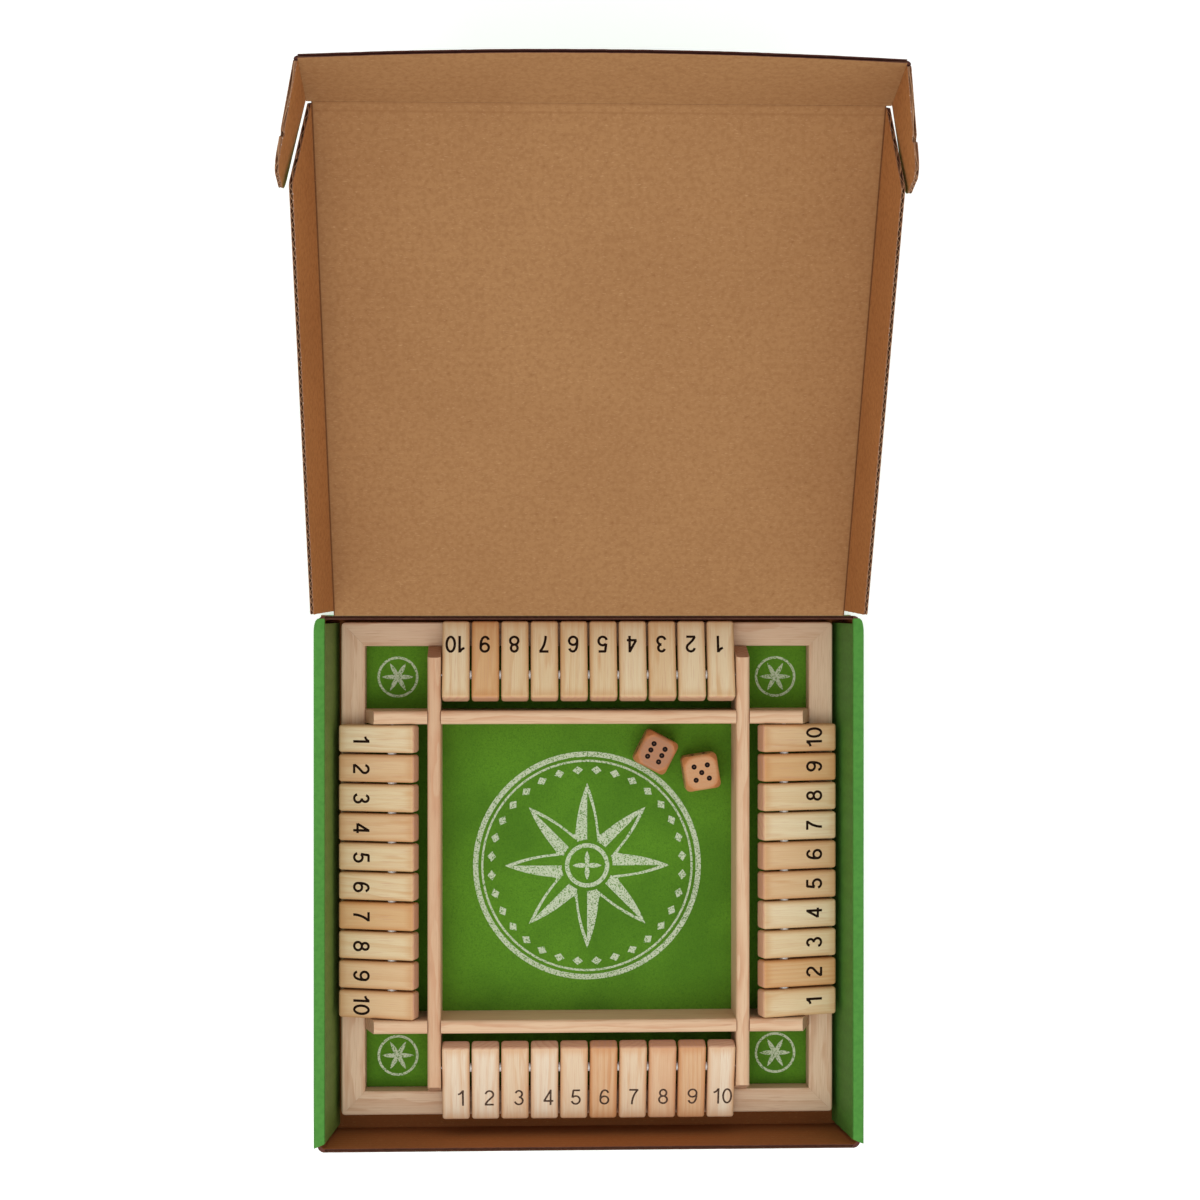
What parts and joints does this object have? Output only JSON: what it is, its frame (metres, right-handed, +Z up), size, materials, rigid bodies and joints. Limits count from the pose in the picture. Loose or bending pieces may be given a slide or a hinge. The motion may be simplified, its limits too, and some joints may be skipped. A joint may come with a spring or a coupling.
{
  "type": "shut the box game",
  "caption": "Wooden shut the box game with numbered flip tiles on steel rods round a felt dice well, in an open corrugated mailer carton with a hinged tuck lid.",
  "frame": {"origin": "centre of the carton's underside, on the surface that it stands on", "axes": "+X to the right, +Y from the front wall towards the lid's hinge, +Z up"},
  "size_m": [0.3073, 0.5626, 0.2504],
  "materials": {
    "tile_wood": "sanded",
    "rail_wood": "sanded",
    "divider_wood": "sanded",
    "die_wood": "burnished",
    "base_ply": "raw plywood",
    "felt": "felt",
    "rod_steel": "drawn",
    "washer": "matte",
    "kraft_board": "raw kraft",
    "green_board": "printed"
  },
  "bodies": {
    "carton": {"carton_tray": "green_board"},
    "liner_left": {"liner_left": "green_board"},
    "liner_right": {"liner_right": "green_board"},
    "lid": {"lid_panel": "kraft_board"},
    "lid_flap_left": {"lid_flap_left": "kraft_board"},
    "lid_flap_right": {"lid_flap_right": "kraft_board"},
    "tuck_flap": {"tuck_flap": "kraft_board"},
    "tuck_ear_left": {"tuck_ear_left": "kraft_board"},
    "tuck_ear_right": {"tuck_ear_right": "kraft_board"},
    "game": {"frame_rails": "rail_wood", "base_board": "base_ply", "felt_sheet": "felt", "divider_left": "divider_wood", "divider_right": "divider_wood", "divider_front": "divider_wood", "divider_back": "divider_wood", "hinge_rods": "rod_steel", "rod_washers": "washer"},
    "die_a": {"die_a": "die_wood"},
    "die_b": {"die_b": "die_wood"},
    "tile_front_1": {"tile_front_1": "tile_wood"},
    "tile_front_2": {"tile_front_2": "tile_wood"},
    "tile_front_3": {"tile_front_3": "tile_wood"},
    "tile_front_4": {"tile_front_4": "tile_wood"},
    "tile_front_5": {"tile_front_5": "tile_wood"},
    "tile_front_6": {"tile_front_6": "tile_wood"},
    "tile_front_7": {"tile_front_7": "tile_wood"},
    "tile_front_8": {"tile_front_8": "tile_wood"},
    "tile_front_9": {"tile_front_9": "tile_wood"},
    "tile_front_10": {"tile_front_10": "tile_wood"},
    "tile_right_1": {"tile_right_1": "tile_wood"},
    "tile_right_2": {"tile_right_2": "tile_wood"},
    "tile_right_3": {"tile_right_3": "tile_wood"},
    "tile_right_4": {"tile_right_4": "tile_wood"},
    "tile_right_5": {"tile_right_5": "tile_wood"},
    "tile_right_6": {"tile_right_6": "tile_wood"},
    "tile_right_7": {"tile_right_7": "tile_wood"},
    "tile_right_8": {"tile_right_8": "tile_wood"},
    "tile_right_9": {"tile_right_9": "tile_wood"},
    "tile_right_10": {"tile_right_10": "tile_wood"},
    "tile_back_1": {"tile_back_1": "tile_wood"},
    "tile_back_2": {"tile_back_2": "tile_wood"},
    "tile_back_3": {"tile_back_3": "tile_wood"},
    "tile_back_4": {"tile_back_4": "tile_wood"},
    "tile_back_5": {"tile_back_5": "tile_wood"},
    "tile_back_6": {"tile_back_6": "tile_wood"},
    "tile_back_7": {"tile_back_7": "tile_wood"},
    "tile_back_8": {"tile_back_8": "tile_wood"},
    "tile_back_9": {"tile_back_9": "tile_wood"},
    "tile_back_10": {"tile_back_10": "tile_wood"},
    "tile_left_1": {"tile_left_1": "tile_wood"},
    "tile_left_2": {"tile_left_2": "tile_wood"},
    "tile_left_3": {"tile_left_3": "tile_wood"},
    "tile_left_4": {"tile_left_4": "tile_wood"},
    "tile_left_5": {"tile_left_5": "tile_wood"},
    "tile_left_6": {"tile_left_6": "tile_wood"},
    "tile_left_7": {"tile_left_7": "tile_wood"},
    "tile_left_8": {"tile_left_8": "tile_wood"},
    "tile_left_9": {"tile_left_9": "tile_wood"},
    "tile_left_10": {"tile_left_10": "tile_wood"}
  },
  "joints": [
    {"name": "lid", "type": "hinge", "parent": "carton", "child": "lid", "pos_m": [0, 0.14816, 0.0541], "axis": [-1, 0, 0], "range_deg": [-150, 30]},
    {"name": "lid_flap_left", "type": "hinge", "parent": "lid", "child": "lid_flap_left", "pos_m": [-0.14141, 0.14816, 0.0541], "axis": [0, -0.866, -0.5], "range_deg": [-7, 1.4]},
    {"name": "lid_flap_right", "type": "hinge", "parent": "lid", "child": "lid_flap_right", "pos_m": [0.14141, 0.14816, 0.0541], "axis": [0, 0.866, 0.5], "range_deg": [-2.5, 0.5]},
    {"name": "tuck_flap", "type": "hinge", "parent": "lid", "child": "tuck_flap", "pos_m": [0, 0.40106, 0.20011], "axis": [-1, 0, 0], "range_deg": [-51, 10.2]},
    {"name": "tuck_ear_left", "type": "hinge", "parent": "tuck_flap", "child": "tuck_ear_left", "pos_m": [-0.14391, 0.40106, 0.20011], "axis": [0, -0.225, -0.9744], "range_deg": [-9.5, 1.9]},
    {"name": "tuck_ear_right", "type": "hinge", "parent": "tuck_flap", "child": "tuck_ear_right", "pos_m": [0.14391, 0.40106, 0.20011], "axis": [0, 0.225, 0.9744], "range_deg": [-3.5, 0.7]},
    {"name": "liner_left", "type": "hinge", "parent": "carton", "child": "liner_left", "pos_m": [-0.14751, 0, 0.0518], "axis": [0, -1, 0], "range_deg": [-5.5, 1.1]},
    {"name": "liner_right", "type": "hinge", "parent": "carton", "child": "liner_right", "pos_m": [0.14751, 0, 0.0518], "axis": [0, 1, 0], "range_deg": [-5.5, 1.1]},
    {"name": "tray_lift", "type": "slide", "parent": "carton", "child": "game", "axis": [0, 0, 1], "range_m": [0, 0.08]},
    {"name": "die_a_lift", "type": "slide", "parent": "game", "child": "die_a", "axis": [0, 0, 1], "range_m": [0, 0.04]},
    {"name": "die_b_lift", "type": "slide", "parent": "game", "child": "die_b", "axis": [0, 0, 1], "range_m": [0, 0.04]},
    {"name": "tile_front_1_flip", "type": "hinge", "parent": "game", "child": "tile_front_1", "pos_m": [-0.0747, -0.10625, 0.0313], "axis": [-1, 0, 0], "range_deg": [0, 165]},
    {"name": "tile_front_2_flip", "type": "hinge", "parent": "game", "child": "tile_front_2", "pos_m": [-0.0581, -0.10625, 0.0313], "axis": [-1, 0, 0], "range_deg": [0, 165]},
    {"name": "tile_front_3_flip", "type": "hinge", "parent": "game", "child": "tile_front_3", "pos_m": [-0.0415, -0.10625, 0.0313], "axis": [-1, 0, 0], "range_deg": [0, 165]},
    {"name": "tile_front_4_flip", "type": "hinge", "parent": "game", "child": "tile_front_4", "pos_m": [-0.0249, -0.10625, 0.0313], "axis": [-1, 0, 0], "range_deg": [0, 165]},
    {"name": "tile_front_5_flip", "type": "hinge", "parent": "game", "child": "tile_front_5", "pos_m": [-0.0083, -0.10625, 0.0313], "axis": [-1, 0, 0], "range_deg": [0, 165]},
    {"name": "tile_front_6_flip", "type": "hinge", "parent": "game", "child": "tile_front_6", "pos_m": [0.0083, -0.10625, 0.0313], "axis": [-1, 0, 0], "range_deg": [0, 165]},
    {"name": "tile_front_7_flip", "type": "hinge", "parent": "game", "child": "tile_front_7", "pos_m": [0.0249, -0.10625, 0.0313], "axis": [-1, 0, 0], "range_deg": [0, 165]},
    {"name": "tile_front_8_flip", "type": "hinge", "parent": "game", "child": "tile_front_8", "pos_m": [0.0415, -0.10625, 0.0313], "axis": [-1, 0, 0], "range_deg": [0, 165]},
    {"name": "tile_front_9_flip", "type": "hinge", "parent": "game", "child": "tile_front_9", "pos_m": [0.0581, -0.10625, 0.0313], "axis": [-1, 0, 0], "range_deg": [0, 165]},
    {"name": "tile_front_10_flip", "type": "hinge", "parent": "game", "child": "tile_front_10", "pos_m": [0.0747, -0.10625, 0.0313], "axis": [-1, 0, 0], "range_deg": [0, 165]},
    {"name": "tile_right_1_flip", "type": "hinge", "parent": "game", "child": "tile_right_1", "pos_m": [0.1105, -0.07045, 0.0313], "axis": [0, -1, 0], "range_deg": [0, 165]},
    {"name": "tile_right_2_flip", "type": "hinge", "parent": "game", "child": "tile_right_2", "pos_m": [0.1105, -0.05385, 0.0313], "axis": [0, -1, 0], "range_deg": [0, 165]},
    {"name": "tile_right_3_flip", "type": "hinge", "parent": "game", "child": "tile_right_3", "pos_m": [0.1105, -0.03725, 0.0313], "axis": [0, -1, 0], "range_deg": [0, 165]},
    {"name": "tile_right_4_flip", "type": "hinge", "parent": "game", "child": "tile_right_4", "pos_m": [0.1105, -0.02065, 0.0313], "axis": [0, -1, 0], "range_deg": [0, 165]},
    {"name": "tile_right_5_flip", "type": "hinge", "parent": "game", "child": "tile_right_5", "pos_m": [0.1105, -0.00405, 0.0313], "axis": [0, -1, 0], "range_deg": [0, 165]},
    {"name": "tile_right_6_flip", "type": "hinge", "parent": "game", "child": "tile_right_6", "pos_m": [0.1105, 0.01255, 0.0313], "axis": [0, -1, 0], "range_deg": [0, 165]},
    {"name": "tile_right_7_flip", "type": "hinge", "parent": "game", "child": "tile_right_7", "pos_m": [0.1105, 0.02915, 0.0313], "axis": [0, -1, 0], "range_deg": [0, 165]},
    {"name": "tile_right_8_flip", "type": "hinge", "parent": "game", "child": "tile_right_8", "pos_m": [0.1105, 0.04575, 0.0313], "axis": [0, -1, 0], "range_deg": [0, 165]},
    {"name": "tile_right_9_flip", "type": "hinge", "parent": "game", "child": "tile_right_9", "pos_m": [0.1105, 0.06235, 0.0313], "axis": [0, -1, 0], "range_deg": [0, 165]},
    {"name": "tile_right_10_flip", "type": "hinge", "parent": "game", "child": "tile_right_10", "pos_m": [0.1105, 0.07895, 0.0313], "axis": [0, -1, 0], "range_deg": [0, 165]},
    {"name": "tile_back_1_flip", "type": "hinge", "parent": "game", "child": "tile_back_1", "pos_m": [0.0747, 0.11475, 0.0313], "axis": [1, 0, 0], "range_deg": [0, 165]},
    {"name": "tile_back_2_flip", "type": "hinge", "parent": "game", "child": "tile_back_2", "pos_m": [0.0581, 0.11475, 0.0313], "axis": [1, 0, 0], "range_deg": [0, 165]},
    {"name": "tile_back_3_flip", "type": "hinge", "parent": "game", "child": "tile_back_3", "pos_m": [0.0415, 0.11475, 0.0313], "axis": [1, 0, 0], "range_deg": [0, 165]},
    {"name": "tile_back_4_flip", "type": "hinge", "parent": "game", "child": "tile_back_4", "pos_m": [0.0249, 0.11475, 0.0313], "axis": [1, 0, 0], "range_deg": [0, 165]},
    {"name": "tile_back_5_flip", "type": "hinge", "parent": "game", "child": "tile_back_5", "pos_m": [0.0083, 0.11475, 0.0313], "axis": [1, 0, 0], "range_deg": [0, 165]},
    {"name": "tile_back_6_flip", "type": "hinge", "parent": "game", "child": "tile_back_6", "pos_m": [-0.0083, 0.11475, 0.0313], "axis": [1, 0, 0], "range_deg": [0, 165]},
    {"name": "tile_back_7_flip", "type": "hinge", "parent": "game", "child": "tile_back_7", "pos_m": [-0.0249, 0.11475, 0.0313], "axis": [1, 0, 0], "range_deg": [0, 165]},
    {"name": "tile_back_8_flip", "type": "hinge", "parent": "game", "child": "tile_back_8", "pos_m": [-0.0415, 0.11475, 0.0313], "axis": [1, 0, 0], "range_deg": [0, 165]},
    {"name": "tile_back_9_flip", "type": "hinge", "parent": "game", "child": "tile_back_9", "pos_m": [-0.0581, 0.11475, 0.0313], "axis": [1, 0, 0], "range_deg": [0, 165]},
    {"name": "tile_back_10_flip", "type": "hinge", "parent": "game", "child": "tile_back_10", "pos_m": [-0.0747, 0.11475, 0.0313], "axis": [1, 0, 0], "range_deg": [0, 165]},
    {"name": "tile_left_1_flip", "type": "hinge", "parent": "game", "child": "tile_left_1", "pos_m": [-0.1105, 0.07895, 0.0313], "axis": [0, 1, 0], "range_deg": [0, 165]},
    {"name": "tile_left_2_flip", "type": "hinge", "parent": "game", "child": "tile_left_2", "pos_m": [-0.1105, 0.06235, 0.0313], "axis": [0, 1, 0], "range_deg": [0, 165]},
    {"name": "tile_left_3_flip", "type": "hinge", "parent": "game", "child": "tile_left_3", "pos_m": [-0.1105, 0.04575, 0.0313], "axis": [0, 1, 0], "range_deg": [0, 165]},
    {"name": "tile_left_4_flip", "type": "hinge", "parent": "game", "child": "tile_left_4", "pos_m": [-0.1105, 0.02915, 0.0313], "axis": [0, 1, 0], "range_deg": [0, 165]},
    {"name": "tile_left_5_flip", "type": "hinge", "parent": "game", "child": "tile_left_5", "pos_m": [-0.1105, 0.01255, 0.0313], "axis": [0, 1, 0], "range_deg": [0, 165]},
    {"name": "tile_left_6_flip", "type": "hinge", "parent": "game", "child": "tile_left_6", "pos_m": [-0.1105, -0.00405, 0.0313], "axis": [0, 1, 0], "range_deg": [0, 165]},
    {"name": "tile_left_7_flip", "type": "hinge", "parent": "game", "child": "tile_left_7", "pos_m": [-0.1105, -0.02065, 0.0313], "axis": [0, 1, 0], "range_deg": [0, 165]},
    {"name": "tile_left_8_flip", "type": "hinge", "parent": "game", "child": "tile_left_8", "pos_m": [-0.1105, -0.03725, 0.0313], "axis": [0, 1, 0], "range_deg": [0, 165]},
    {"name": "tile_left_9_flip", "type": "hinge", "parent": "game", "child": "tile_left_9", "pos_m": [-0.1105, -0.05385, 0.0313], "axis": [0, 1, 0], "range_deg": [0, 165]},
    {"name": "tile_left_10_flip", "type": "hinge", "parent": "game", "child": "tile_left_10", "pos_m": [-0.1105, -0.07045, 0.0313], "axis": [0, 1, 0], "range_deg": [0, 165]}
  ],
  "couplings": [
    {"joint": "lid_flap_left", "follows": "lid", "ratio": 0.046667},
    {"joint": "lid_flap_right", "follows": "lid", "ratio": 0.016667},
    {"joint": "tuck_flap", "follows": "lid", "ratio": 0.34},
    {"joint": "tuck_ear_left", "follows": "lid", "ratio": 0.063333},
    {"joint": "tuck_ear_right", "follows": "lid", "ratio": 0.023333},
    {"joint": "liner_left", "follows": "lid", "ratio": 0.036667},
    {"joint": "liner_right", "follows": "lid", "ratio": 0.036667}
  ]
}
